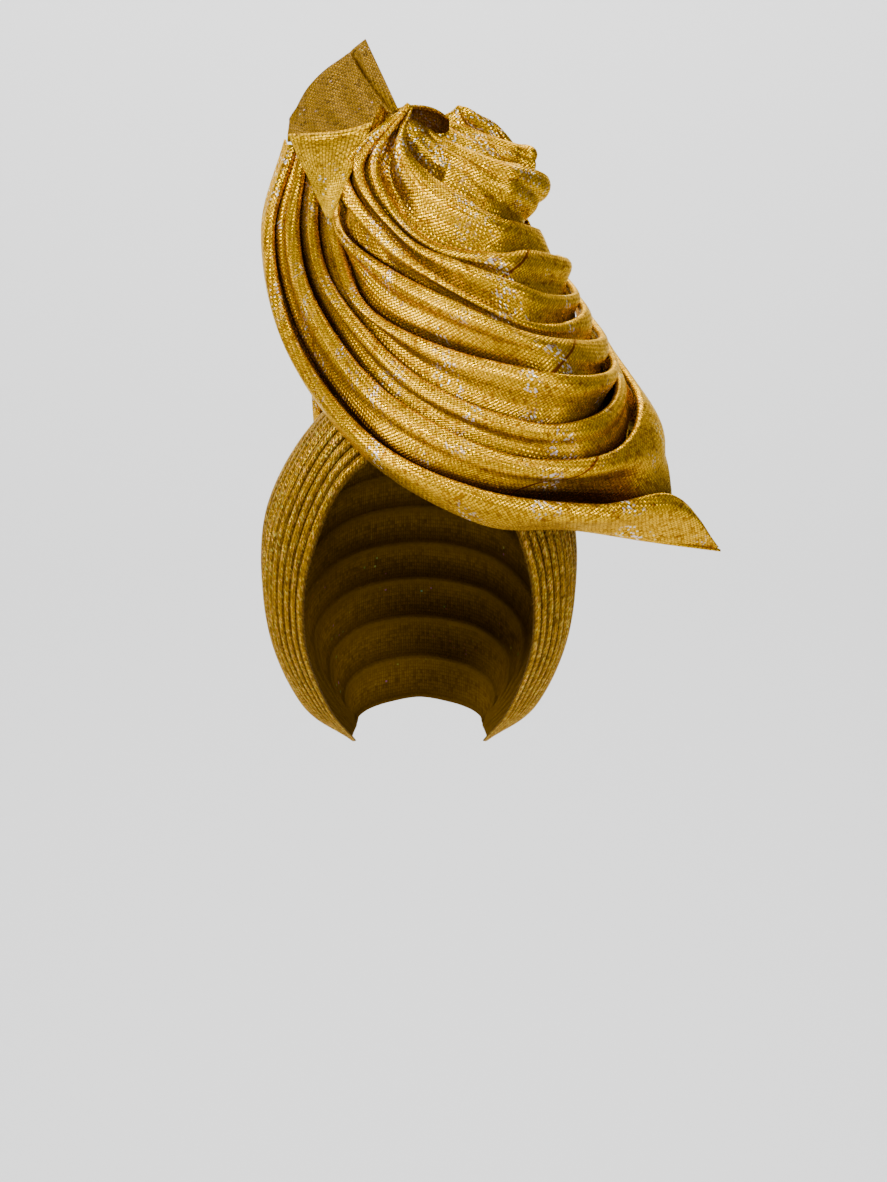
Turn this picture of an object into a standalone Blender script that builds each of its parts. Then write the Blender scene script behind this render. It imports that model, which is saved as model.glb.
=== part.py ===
"""A tied gele head tie: a pleated head wrap under a tall leaning fan of nested cowl folds.

Frame: the origin is where the top of the head bears on the wrap, +Z is up, the face looks along -Y,
and +X is to the right of someone who faces the wearer.  Sizes are in metres.  Lengths in the tables
are shares of the named sizes that they follow.
"""

import math
from collections import namedtuple

import bmesh
import bpy
import numpy as np

# Cloth
CLOTH = 0.0015  # wall of one layer
CLEARANCE = 0.0006  # air between two layers that lie on each other
FOLD_RADIUS = 0.0021  # bend of a fold at a rim
TUCK = 1.8  # how many fold radii a layer runs down behind the rim below it
TUCK_SLANT = 0.6  # how far it leans back on the way, as a share of that

# Head wrap, measured over the ribs
HEAD_WIDTH = 0.182
HEAD_DEPTH = 0.190
HEAD_HEIGHT = 0.212
RIB_HEIGHT = 0.0034
RIB_COUNT = 22
RIB_CROWDING = 0.2  # 0 spreads the ribs evenly, more crowds them towards the face

# Fan
FAN_WIDTH = 0.274
FAN_HEIGHT = 0.295
BRIM_REACH = 0.034  # how far the brim stands forward of the forehead
FAN_DEPTH = HEAD_DEPTH / 2 + BRIM_REACH
LINING_DEPTHS = (.016, .016, .014, .006, .010, .012, .008, .003)  # how far the brim's lining runs back
LINING_LIFT = 0.005
DRAPE_WAVES = 13  # soft pleats across the back
DRAPE_WAVE_HEIGHT = 0.0024

# Facets
FOLD_SPANS = 18
RIB_SPANS = 12
DRAPE_SPANS = 4
BELLY_STEPS = (0.35, 0.75)
ROLL_TURNS = (math.pi / 2, math.pi)

GOLD = (0.62, 0.36, 0.045, 1.0)
SHADED_GOLD = (0.42, 0.235, 0.04, 1.0)
CLOTH_ROUGHNESS = 0.42
CLOTH_METALLIC = 0.55

# One row a rim: (across, up, forward) shares of FAN_WIDTH, FAN_HEIGHT and FAN_DEPTH at eight stations,
# from the pinch at the upper left, down over the belly and up the hook at the right.
Rim = namedtuple("Rim", "name head neck shoulder flank belly heel hook tip")
RIMS = (
    Rim("hem", (-.290, .500, -.10), (-.340, .310, .02), (-.286, .078, .28), (-.114, -.141, .77),
        (.126, -.268, .93), (.318, -.283, .80), (.498, -.306, .62), (.639, -.322, .42)),
    Rim("brim", (-.272, .500, -.06), (-.322, .316, .06), (-.272, .096, .36), (-.102, -.108, .86),
        (.131, -.213, 1.00), (.380, -.243, .88), (.544, -.219, .68), (.642, -.320, .44)),
    Rim("seat", (-.272, .500, -.06), (-.322, .316, .06), (-.272, .096, .36), (-.102, -.108, .86),
        (.131, -.213, 1.00), (.372, -.236, .82), (.530, -.200, .48), (.480, -.060, .00)),
    Rim("one", (-.250, .482, -.02), (-.290, .322, .14), (-.242, .162, .44), (-.066, -.019, .82),
        (.187, -.142, .99), (.407, -.138, .86), (.477, -.031, .48), (.440, .075, -.06)),
    Rim("two", (-.221, .457, .04), (-.232, .300, .24), (-.155, .159, .54), (.011, .005, .82),
        (.235, -.079, .94), (.377, -.063, .80), (.421, .002, .46), (.436, .084, -.02)),
    Rim("three", (-.201, .425, .09), (-.192, .262, .37), (-.103, .148, .60), (.057, .069, .80),
        (.260, .022, .89), (.376, .018, .74), (.414, .046, .42), (.424, .092, .02)),
    Rim("four", (-.182, .390, .15), (-.169, .304, .43), (-.056, .224, .64), (.068, .165, .79),
        (.215, .105, .83), (.322, .090, .67), (.378, .098, .38), (.402, .128, .04)),
    Rim("five", (-.144, .447, .30), (-.121, .371, .48), (-.039, .274, .64), (.076, .192, .75),
        (.215, .129, .77), (.302, .122, .62), (.348, .150, .37), (.362, .188, .06)),
    Rim("six", (-.110, .460, .33), (-.096, .375, .47), (-.018, .291, .60), (.087, .243, .69),
        (.199, .205, .70), (.275, .182, .57), (.326, .186, .34), (.346, .212, .08)),
    Rim("seven", (-.057, .525, .32), (-.076, .451, .44), (-.040, .353, .54), (.042, .281, .60),
        (.168, .263, .60), (.239, .272, .48), (.289, .275, .29), (.336, .261, .04)),
    Rim("eight", (-.026, .543, .24), (-.025, .485, .36), (.021, .428, .44), (.093, .382, .48),
        (.165, .340, .48), (.218, .329, .39), (.261, .335, .25), (.272, .321, .06)),
    Rim("nine", (.013, .535, .17), (.046, .509, .21), (.079, .493, .25), (.122, .476, .28),
        (.177, .457, .28), (.230, .441, .25), (.270, .427, .18), (.278, .416, .06)),
    Rim("ten", (.046, .550, .04), (.079, .543, .06), (.112, .533, .08), (.145, .519, .09),
        (.178, .509, .09), (.210, .498, .08), (.230, .489, .06), (.239, .467, .02)),
    Rim("leaf", (.061, .561, -.02), (.075, .572, -.01), (.084, .580, .00), (.094, .578, .00),
        (.106, .568, .00), (.120, .554, -.01), (.136, .538, -.02), (.150, .520, -.04)),
)

# One row a folded layer: the rim under it, its own rim, how far its belly swells, how wide the pocket
# under it opens at its two ends, all three as shares of the distance between the two rims, and how far
# it stands off the rim below it, in CLEARANCEs.
Layer = namedtuple("Layer", "name lower upper swell left_pocket right_pocket ease")
LAYERS = (
    Layer("swag_one", "seat", "one", .16, .05, .10, 0.2),
    Layer("swag_two", "one", "two", .16, .10, .30, 1.0),
    Layer("swag_three", "two", "three", .14, .10, .30, 1.0),
    Layer("swag_four", "three", "four", .14, .05, .20, 1.0),
    Layer("swag_five", "four", "five", .14, .30, .05, 0.0),
    Layer("swag_six", "five", "six", .12, .05, .05, 0.4),
    Layer("swag_seven", "six", "seven", .14, .10, .05, 0.4),
    Layer("rosette_cup", "seven", "eight", .16, .03, .05, 0.2),
    Layer("rosette_petal", "eight", "nine", .18, .0, .10, 0.8),
    Layer("rosette_crown", "nine", "ten", .18, .05, .10, 0.0),
    Layer("rosette_leaf", "ten", "leaf", .10, .0, .0, 0.5),
)

# One row a rib line of the wrap, from the face edge over the crown to the nape: (across, back, up)
# shares of half HEAD_WIDTH, half HEAD_DEPTH and HEAD_HEIGHT, from the middle line to the nape knot.
RibLine = namedtuple("RibLine", "name top brow temple ear lobe nape")
RIB_LINES = (
    RibLine("face", (0, -.95, -.160), (.46, -.88, -.262), (.71, -.60, -.490), (.75, -.22, -.708),
            (.61, .28, -.896), (.43, .65, -1.0)),
    RibLine("brow", (0, -.66, .004), (.53, -.60, -.094), (.90, -.40, -.377), (.94, -.08, -.684),
            (.73, .35, -.896), (.45, .70, -1.0)),
    RibLine("crown", (0, -.02, .040), (.58, -.02, -.057), (.98, .02, -.330), (.985, .12, -.650),
            (.78, .44, -.887), (.46, .74, -.995)),
    RibLine("back", (0, .68, -.085), (.58, .64, -.165), (.92, .54, -.400), (.92, .50, -.660),
            (.73, .63, -.868), (.45, .80, -.981)),
    RibLine("occiput", (0, 1.03, -.450), (.48, .98, -.490), (.75, .84, -.604), (.75, .78, -.736),
            (.62, .80, -.858), (.43, .86, -.962)),
    RibLine("nape", (0, .95, -.877), (.21, .94, -.892), (.34, .92, -.910), (.41, .905, -.929),
            (.43, .895, -.943), (.43, .885, -.958)),
)

# Where the brim's lining and the back drape land on the wrap: (rib line, side) at eight stations, with
# the rib line from 0 at the face to 1 at the nape and the side from -1 over the top at 0 to 1.
BRIM_ROOT = ((.50, -.10), (.42, -.16), (.30, -.20), (.12, -.14), (.05, .06), (.12, .28), (.26, .32), (.36, .34))
DRAPE_ROOT = ((.44, -.23), (.50, -.23), (.56, -.20), (.60, -.10), (.61, .04), (.58, .17), (.53, .27), (.48, .36))

# The back drape's outer edge and its fullest line: (across, back, up) shares of FAN_WIDTH, FAN_DEPTH and
# FAN_HEIGHT at the same stations.
DRAPE_EDGE = ((-.190, .04, .015), (-.280, .18, .190), (-.296, .26, .360), (-.256, .30, .495),
              (.020, .12, .545), (.215, .06, .420), (.315, .04, .240), (.455, .12, -.020))
DRAPE_FULL = ((-.200, .22, -.010), (-.245, .44, .130), (-.225, .58, .260), (-.150, .62, .370),
              (.030, .62, .400), (.180, .58, .320), (.280, .58, .140), (.345, .52, -.030))

# The flap that is folded down in front of the pinch, and the tail end that stands up behind it: (across,
# up, forward) shares at four stations of each edge.
FLAP_TOP = ((-0.285, 0.513, 0.150), (-0.202, 0.511, 0.290), (-0.115, 0.524, 0.361), (-0.038, 0.545, 0.360))
FLAP_FOOT = ((-0.180, 0.295, 0.495), (-0.174, 0.290, 0.525), (-0.167, 0.286, 0.535), (-0.161, 0.285, 0.535))
CREST_TOP = ((-0.282, 0.550, 0.06), (-0.230, 0.631, -0.02), (-0.151, 0.692, -0.08), (-0.117, 0.718, -0.10))
CREST_SPANS = 10

# The small loop between the pinch and the rosette: (across, up, forward) shares along its arch.
LOOP = ((-.052, .549, .30), (-.031, .562, .27), (.004, .562, .25), (.030, .559, .23), (.044, .553, .22))
LOOP_WIDTH = 0.010


def spline(points, shares):
    """Points on a smooth curve through the rows (Catmull-Rom), at shares 0 to 1 of its rows."""
    points = np.asarray(points, float)
    first, last = 2 * points[:1] - points[1:2], 2 * points[-1:] - points[-2:-1]
    padded = np.vstack([first, points, last])
    place = np.clip(np.asarray(shares, float), 0, 1) * (len(points) - 1)
    row = np.minimum(place.astype(int), len(points) - 2)
    t = (place - row)[:, None]
    before, start, end, after = (padded[row + k] for k in range(4))
    return 0.5 * (
        2 * start
        + (end - before) * t
        + (2 * before - 5 * start + 4 * end - after) * t**2
        + (3 * start - before - 3 * end + after) * t**3
    )


def unit(vectors):
    """The same directions with length one."""
    return vectors / np.maximum(np.linalg.norm(vectors, axis=-1, keepdims=True), 1e-9)


def fan_points(rows, shares):
    """A curve through rows of (across, back, up) shares of the fan."""
    return spline(np.array(rows) * (FAN_WIDTH, FAN_DEPTH, FAN_HEIGHT), shares)


def rim_line(name, shares):
    """The line along a rim."""
    rim = next(r for r in RIMS if r.name == name)
    return fan_points(as_back(rim[1:]), shares)


def as_back(rows):
    """Rows of (across, up, forward) as (across, back, up)."""
    return [(across, -forward, up) for across, up, forward in rows]


def rim_frame(name, shares):
    """A rim's line, the ways up, out and down from it, and its fold radius."""
    order = [r.name for r in RIMS if r.name != "seat"]
    line = rim_line(name, shares)
    place = 1 if name == "seat" else order.index(name)
    below = rim_line(order[place - 1], shares)
    above = rim_line(order[place + 1], shares) if place + 1 < len(order) else 2 * line - below
    along = unit(np.gradient(line, axis=0))
    rise = above - below
    up = unit(rise - along * np.sum(rise * along, axis=1, keepdims=True))
    reach = np.linalg.norm(line - below, axis=1, keepdims=True)
    return line, up, np.cross(along, up), unit(below - line), np.minimum(FOLD_RADIUS, 0.2 * reach)


def belly(start, end, low_pull, high_pull):
    """Rows of a cubic curve from start to end."""
    rows = [start]
    for t in BELLY_STEPS:
        low, high = 3 * (1 - t) ** 2 * t, 3 * (1 - t) * t**2
        rows.append((1 - t) ** 3 * start + low * low_pull + high * high_pull + t**3 * end)
    return rows + [end]


def roll(end, up, out, radius):
    """Rows that turn the cloth over a rim, from its front to its back."""
    return [end - out * radius * (1 - math.cos(a)) + up * radius * math.sin(a) for a in ROLL_TURNS]


def folded_layer(layer, shares):
    """One layer: hidden tuck, start behind the rim below, swelling belly, and its own rolled rim."""
    low, low_up, low_out, low_down, low_radius = rim_frame(layer.lower, shares)
    high, high_up, high_out, _, high_radius = rim_frame(layer.upper, shares)
    span = np.linalg.norm(high - low, axis=1, keepdims=True)
    ends = layer.left_pocket * np.clip(1 - 3 * shares, 0, 1)
    ends = ends + layer.right_pocket * np.clip(3 * shares - 2, 0, 1)
    start = low - low_out * (2 * low_radius + CLOTH + layer.ease * CLEARANCE + ends[:, None] * span)
    end = high - high_up * high_radius
    swell = unit(low_out + high_out) * layer.swell * span * np.sin(math.pi * shares)[:, None]
    tuck = start + (low_down - low_out * TUCK_SLANT) * TUCK * low_radius
    rows = [tuck] + belly(start, end, start + low_up * span * 0.3, end - high_up * span * 0.35 + swell)
    return np.stack(rows + roll(end, high_up, high_out, high_radius), axis=1)


def wrap_surface(lines, sides):
    """Points of the wrap's mean outer surface on a grid of rib lines and sides."""
    sizes = np.array((HEAD_WIDTH / 2, HEAD_DEPTH / 2, HEAD_HEIGHT))
    curves = []
    for row in RIB_LINES:
        half = np.array(row[1:]) * sizes
        mirrored = half[:0:-1] * (-1, 1, 1)
        curves.append(spline(np.vstack([mirrored, half]), (np.asarray(sides) + 1) / 2))
    curves = np.stack(curves)
    return np.stack([spline(curves[:, k], lines) for k in range(len(sides))], axis=1)


def grid_normals(grid):
    """Unit normals of a grid of points, from the directions of its rows and columns."""
    return unit(np.cross(np.gradient(grid, axis=0), np.gradient(grid, axis=1)))


def on_wrap(places, shares, clearances):
    """Points just clear of the wrap's ribs, along a curve of (rib line, side) places."""
    picked = spline(places, shares)
    step = 0.01
    points, outward = [], []
    for line, side in picked:
        patch = wrap_surface(np.array([line - step, line, line + step]), np.array([side - step, side, side + step]))
        points.append(patch[1, 1])
        outward.append(grid_normals(patch)[1, 1])
    points, outward = np.array(points), np.array(outward)
    outward *= np.sign(np.sum(outward * (points + (0, 0, HEAD_HEIGHT / 2)), axis=1, keepdims=True))
    return points + outward * (RIB_HEIGHT / 2 + CLOTH + clearances * CLEARANCE), outward


def brim_layer(shares):
    """The brim: a lining that leaves the wrap, the turned hem, the front face and the rolled rim."""
    hem = rim_line("hem", shares)
    high, high_up, high_out, _, radius = rim_frame("brim", shares)
    span = np.linalg.norm(high - hem, axis=1, keepdims=True)
    root, outward = on_wrap(BRIM_ROOT, shares, 1.5)
    behind = hem + np.array((0, 1, 0)) * np.interp(shares, np.linspace(0, 1, 8), LINING_DEPTHS)[:, None]
    end = high - high_up * radius
    swell = high_out * span * 0.2
    rows = [root, (root + behind) / 2 + outward * LINING_LIFT, behind]
    rows += belly(hem, end, hem + (end - hem) * 0.35 + swell, end - high_up * span * 0.3 + swell)
    return np.stack(rows + roll(end, high_up, high_out, radius), axis=1)


def back_drape(shares):
    """The plain back: a full sheet with soft pleats that fan out from the wrap to the outline."""
    edge, full = fan_points(DRAPE_EDGE, shares), fan_points(DRAPE_FULL, shares)
    root, _ = on_wrap(DRAPE_ROOT, shares, 0.3)
    sheet = np.stack([spline([e, f, r], np.linspace(0, 1, DRAPE_SPANS + 1)) for e, f, r in zip(edge, full, root)])
    waves = np.sin(shares * 2 * math.pi * DRAPE_WAVES) * DRAPE_WAVE_HEIGHT / 2
    fade = np.sin(np.linspace(0, math.pi, DRAPE_SPANS + 1))
    return sheet + grid_normals(sheet) * waves[:, None, None] * fade[None, :, None]


def front_flap(shares):
    """The triangular flap, folded down from its top edge."""
    top, foot = fan_points(as_back(FLAP_TOP), shares), fan_points(as_back(FLAP_FOOT), shares)
    steps = np.linspace(0, 1, 5)
    rows = [top * (1 - t) + foot * t + np.array((0, -0.006 * math.sin(math.pi * t), 0)) for t in steps]
    return np.stack(rows, axis=1)


def crest_tail(shares):
    """The cloth's end that stands up behind the flap."""
    drop = np.array((0, CLOTH + 1.7 * CLEARANCE, 0))
    foot = fan_points(as_back(FLAP_TOP), shares) + drop
    top = fan_points(as_back(CREST_TOP), shares) + drop
    rows = [foot - np.array((0, 0, 0.004))] + [foot * (1 - t) + top * t for t in np.linspace(0, 1, 4)]
    return np.stack(rows, axis=1)


def top_loop(shares):
    """A narrow strip bent over in an arch."""
    front = fan_points(as_back(LOOP), shares)
    return np.stack([front + np.array((0, LOOP_WIDTH * k / 2, -0.002 * k)) for k in range(3)], axis=1)


def cloth_material(name, color):
    """A metallic woven gold."""
    material = bpy.data.materials.new(name)
    material.use_nodes = True
    shader = material.node_tree.nodes["Principled BSDF"]
    shader.inputs["Base Color"].default_value = color
    shader.inputs["Roughness"].default_value = CLOTH_ROUGHNESS
    shader.inputs["Metallic"].default_value = CLOTH_METALLIC
    return material


def sheet_object(name, grid, collection, material, offset=0.0):
    """An open sheet through a grid of points, given its cloth wall by Solidify."""
    rows, columns = grid.shape[:2]
    mesh = bmesh.new()
    vertices = [[mesh.verts.new(point) for point in row] for row in grid]
    for i in range(rows - 1):
        for j in range(columns - 1):
            mesh.faces.new((vertices[i][j], vertices[i + 1][j], vertices[i + 1][j + 1], vertices[i][j + 1]))
    data = bpy.data.meshes.new(name)
    mesh.to_mesh(data)
    mesh.free()
    data.materials.append(material)
    data.shade_smooth()
    sheet = bpy.data.objects.new(name, data)
    collection.objects.link(sheet)
    wall = sheet.modifiers.new("wall", "SOLIDIFY")
    wall.thickness = CLOTH
    wall.offset = offset
    return sheet


def ribbed_wrap():
    """The wrap as a grid with a ridge and a valley for each rib."""
    steps = np.linspace(0, 1, 2 * RIB_COUNT + 1)
    lines = (1 - RIB_CROWDING) * steps + RIB_CROWDING * steps**2
    sides = np.linspace(-1, 1, RIB_SPANS + 1)
    surface = wrap_surface(lines, sides)
    spacing = np.linalg.norm(np.gradient(surface, axis=0), axis=-1)
    height = np.minimum(RIB_HEIGHT, 0.8 * spacing) / 2
    turn = np.where(np.arange(len(lines)) % 2, 1.0, -1.0)[:, None]
    return surface + grid_normals(surface) * (height * turn)[:, :, None]


def main():
    """Builds every piece of the head tie."""
    for old in list(bpy.data.objects):
        bpy.data.objects.remove(old)
    collection = bpy.data.collections.new("gele_head_tie")
    bpy.context.scene.collection.children.link(collection)
    gold = cloth_material("gold_weave", GOLD)
    shaded = cloth_material("wrap_weave", SHADED_GOLD)
    shares = np.linspace(0, 1, FOLD_SPANS + 1)
    sheet_object("head_wrap", ribbed_wrap(), collection, shaded)
    sheet_object("brim", brim_layer(shares), collection, gold)
    for layer in LAYERS:
        sheet_object(layer.name, folded_layer(layer, shares), collection, gold)
    drape_shares = np.linspace(0, 1, 2 * DRAPE_WAVES + 1)
    sheet_object("back_drape", back_drape(drape_shares), collection, gold)
    crest_shares = np.linspace(0, 1, CREST_SPANS + 1)
    sheet_object("front_flap", front_flap(crest_shares), collection, gold)
    sheet_object("crest_tail", crest_tail(crest_shares), collection, gold)
    sheet_object("rosette_loop", top_loop(crest_shares), collection, gold)


main()
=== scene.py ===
"""The looks of a tied gele head tie: gold woven cloth in nested cowl folds over a ribbed head wrap."""

from __future__ import annotations

import logging
import math
from dataclasses import dataclass
from enum import Enum

import bpy
import numpy as np
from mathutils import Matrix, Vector

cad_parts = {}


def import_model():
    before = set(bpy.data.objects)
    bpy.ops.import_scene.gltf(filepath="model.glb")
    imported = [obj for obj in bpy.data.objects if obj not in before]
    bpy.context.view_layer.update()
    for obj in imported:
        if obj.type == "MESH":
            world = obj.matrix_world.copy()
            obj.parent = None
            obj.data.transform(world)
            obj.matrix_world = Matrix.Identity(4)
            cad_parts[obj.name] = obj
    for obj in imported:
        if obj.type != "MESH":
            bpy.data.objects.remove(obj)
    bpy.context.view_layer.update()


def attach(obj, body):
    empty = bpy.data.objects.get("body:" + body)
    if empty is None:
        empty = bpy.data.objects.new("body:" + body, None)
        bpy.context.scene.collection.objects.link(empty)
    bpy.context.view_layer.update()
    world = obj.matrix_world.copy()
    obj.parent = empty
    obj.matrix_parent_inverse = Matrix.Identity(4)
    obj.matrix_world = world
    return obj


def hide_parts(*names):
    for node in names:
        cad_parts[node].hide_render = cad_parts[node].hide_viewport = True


LOG = logging.getLogger("gele")
Grid = np.ndarray
Point = tuple[float, float, float]
Colour = tuple[float, float, float, float]
Socket = bpy.types.NodeSocket

# Named sizes in metres, with counts and shares of them
CLOTH = 0.0012
WRAP_WALL = 0.0009
GAP = 0.003
LAYER_WALL = 0.0015
CLEARANCE = 0.0006
FOLD_RADIUS = 0.0021
FOLD_RADIUS_SHARE = 0.2
TUCK = 3.0
TUCK_SLANT = 0.6
HEAD_WIDTH = 0.182
HEAD_DEPTH = 0.190
HEAD_HEIGHT = 0.212
RIB_HEIGHT = 0.0034
RIB_COUNT = 22
RIB_CROWDING = 0.2
FAN_WIDTH = 0.274
FAN_HEIGHT = 0.295
FAN_DEPTH = 0.129
LINING_DEPTHS = (0.016, 0.016, 0.014, 0.006, 0.010, 0.012, 0.008, 0.003)
LINING_LIFT = 0.005
LOOP_WIDTH = 0.010
CREASE_FADE = 0.06

# How far the fan's threads turn from the folds in radians, and how far off a sheet without a seam keeps it
BIAS = -0.87
SEAMLESS = 10.0

# How finely the surfaces are worked out
ALONG = 220
BELLY = 34
ROLL = 12
TUCK_ROWS = 5

# One row a rim: (across, up, forward) shares of the fan at eight stations from the pinch to the hook
RIMS: dict[str, tuple[Point, ...]] = {
    "hem": ((-0.290, 0.500, -0.10), (-0.340, 0.310, 0.02), (-0.286, 0.078, 0.28), (-0.114, -0.141, 0.77),
        (0.126, -0.268, 0.93), (0.318, -0.283, 0.80), (0.498, -0.306, 0.62), (0.639, -0.322, 0.42)),
    "brim": ((-0.272, 0.500, -0.06), (-0.322, 0.316, 0.06), (-0.272, 0.096, 0.36), (-0.102, -0.108, 0.86),
        (0.131, -0.213, 1.00), (0.380, -0.243, 0.88), (0.544, -0.219, 0.68), (0.642, -0.320, 0.44)),
    "seat": ((-0.272, 0.500, -0.06), (-0.322, 0.316, 0.06), (-0.272, 0.096, 0.36), (-0.102, -0.108, 0.86),
        (0.131, -0.213, 1.00), (0.372, -0.236, 0.82), (0.580, -0.215, 0.44), (0.500, -0.060, -0.05)),
    "one": ((-0.250, 0.482, -0.02), (-0.267, 0.322, 0.14), (-0.222, 0.162, 0.44), (-0.066, -0.019, 0.82),
        (0.187, -0.142, 0.99), (0.407, -0.138, 0.86), (0.480, -0.031, 0.46), (0.415, 0.105, -0.18)),
    "two": ((-0.221, 0.457, 0.04), (-0.222, 0.300, 0.24), (-0.155, 0.159, 0.54), (0.011, 0.005, 0.82),
        (0.235, -0.079, 0.94), (0.377, -0.063, 0.80), (0.432, 0.006, 0.42), (0.405, 0.120, -0.18)),
    "three": ((-0.201, 0.425, 0.09), (-0.168, 0.262, 0.37), (-0.103, 0.148, 0.60), (0.057, 0.069, 0.80),
        (0.260, 0.022, 0.89), (0.376, 0.018, 0.74), (0.426, 0.050, 0.36), (0.395, 0.135, -0.16)),
    "four": ((-0.182, 0.390, 0.15), (-0.169, 0.304, 0.43), (-0.056, 0.224, 0.64), (0.068, 0.165, 0.79),
        (0.215, 0.105, 0.83), (0.322, 0.090, 0.67), (0.398, 0.103, 0.32), (0.370, 0.165, -0.14)),
    "five": ((-0.024, 0.568, 0.40), (-0.160, 0.440, 0.47), (-0.060, 0.290, 0.62), (0.076, 0.192, 0.75),
        (0.215, 0.129, 0.77), (0.302, 0.122, 0.62), (0.360, 0.158, 0.30), (0.335, 0.215, -0.12)),
    "six": ((-0.022, 0.564, 0.42), (-0.120, 0.435, 0.49), (-0.030, 0.300, 0.60), (0.087, 0.243, 0.69),
        (0.199, 0.205, 0.70), (0.275, 0.182, 0.57), (0.342, 0.192, 0.27), (0.320, 0.240, -0.10)),
    "seven": ((-0.018, 0.560, 0.43), (-0.085, 0.452, 0.48), (-0.045, 0.353, 0.54), (0.042, 0.281, 0.60),
        (0.168, 0.263, 0.60), (0.239, 0.272, 0.48), (0.318, 0.264, 0.22), (0.305, 0.280, -0.12)),
    "eight": ((-0.014, 0.556, 0.41), (-0.025, 0.485, 0.45), (0.021, 0.428, 0.44), (0.093, 0.382, 0.48),
        (0.165, 0.340, 0.48), (0.218, 0.329, 0.39), (0.262, 0.322, 0.20), (0.238, 0.340, -0.08)),
    "nine": ((0.013, 0.535, 0.17), (0.046, 0.509, 0.21), (0.079, 0.493, 0.25), (0.122, 0.476, 0.28),
        (0.177, 0.457, 0.28), (0.228, 0.449, 0.25), (0.281, 0.428, 0.14), (0.222, 0.410, -0.06)),
    "ten": ((0.046, 0.550, 0.04), (0.079, 0.543, 0.06), (0.112, 0.533, 0.08), (0.145, 0.519, 0.09),
        (0.178, 0.509, 0.09), (0.212, 0.499, 0.08), (0.236, 0.494, 0.06), (0.222, 0.462, 0.00)),
    "leaf": ((0.061, 0.561, -0.02), (0.075, 0.572, -0.01), (0.084, 0.580, 0.00), (0.094, 0.578, 0.00),
        (0.106, 0.568, 0.00), (0.120, 0.554, -0.01), (0.136, 0.538, -0.02), (0.150, 0.520, -0.04)),
}

# One row a rib line of the wrap from the face edge to the nape: (across, back, up) shares of the head
RIB_LINES = (
    ((0, -0.95, -0.160), (0.46, -0.88, -0.262), (0.71, -0.60, -0.490), (0.75, -0.22, -0.708),
     (0.61, 0.28, -0.896), (0.43, 0.65, -1.0)),
    ((0, -0.66, 0.004), (0.53, -0.60, -0.094), (0.90, -0.40, -0.377), (0.94, -0.08, -0.684),
     (0.73, 0.35, -0.896), (0.45, 0.70, -1.0)),
    ((0, -0.02, 0.040), (0.58, -0.02, -0.057), (0.98, 0.02, -0.330), (0.985, 0.12, -0.650),
     (0.78, 0.44, -0.887), (0.46, 0.74, -0.995)),
    ((0, 0.68, -0.085), (0.58, 0.64, -0.165), (0.92, 0.54, -0.400), (0.92, 0.50, -0.660),
     (0.73, 0.63, -0.868), (0.45, 0.80, -0.981)),
    ((0, 1.03, -0.450), (0.48, 0.98, -0.490), (0.75, 0.84, -0.604), (0.75, 0.78, -0.736),
     (0.62, 0.80, -0.858), (0.43, 0.86, -0.962)),
    ((0, 0.95, -0.877), (0.21, 0.94, -0.892), (0.34, 0.92, -0.910), (0.41, 0.905, -0.929),
     (0.43, 0.895, -0.943), (0.43, 0.885, -0.958)),
)

# Where the brim's lining and the back drape land on the wrap: (rib line, side) at eight stations
BRIM_ROOT = ((0.50, -0.10), (0.42, -0.16), (0.30, -0.20), (0.12, -0.14), (0.05, 0.06), (0.12, 0.28),
             (0.26, 0.32), (0.36, 0.34))
DRAPE_ROOT = ((0.44, -0.23), (0.50, -0.23), (0.56, -0.20), (0.60, -0.10), (0.61, 0.04), (0.58, 0.17),
              (0.53, 0.27), (0.48, 0.36))

# The back drape's outer edge and its fullest line: (across, back, up) shares of the fan
DRAPE_EDGE = ((-0.190, 0.04, 0.015), (-0.280, 0.18, 0.190), (-0.296, 0.26, 0.360), (-0.256, 0.30, 0.495),
              (0.020, 0.12, 0.545), (0.195, 0.06, 0.410), (0.318, 0.04, 0.190), (0.486, 0.05, -0.115))
DRAPE_FULL = ((-0.200, 0.22, -0.010), (-0.245, 0.44, 0.130), (-0.225, 0.58, 0.260), (-0.150, 0.62, 0.370),
              (0.030, 0.62, 0.400), (0.180, 0.58, 0.320), (0.280, 0.58, 0.120), (0.360, 0.50, -0.080))

# The flap folded down in front of the pinch and the end that stands up behind it: (across, up, forward)
FLAP_TOP = ((-0.285, 0.513, 0.150), (-0.202, 0.511, 0.290), (-0.140, 0.518, 0.340), (-0.098, 0.530, 0.345))
CREST_FOOT = ((-0.285, 0.513, 0.150), (-0.202, 0.511, 0.290), (-0.115, 0.524, 0.361), (-0.038, 0.545, 0.360))
FLAP_FOOT = ((-0.199, 0.340, 0.485), (-0.195, 0.335, 0.510), (-0.190, 0.332, 0.520), (-0.186, 0.332, 0.520))
CREST_TOP = ((-0.282, 0.550, 0.06), (-0.230, 0.631, -0.02), (-0.151, 0.692, -0.08), (-0.117, 0.718, -0.10))
LOOP = ((-0.048, 0.556, 0.34), (-0.022, 0.564, 0.31), (0.010, 0.565, 0.28), (0.040, 0.558, 0.24),
        (0.066, 0.543, 0.18))


class Hold(Enum):
    """How a sheet of cloth is held."""

    GATHERED = "gathered"
    FOLDED = "folded"
    DRAPED = "draped"


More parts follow.
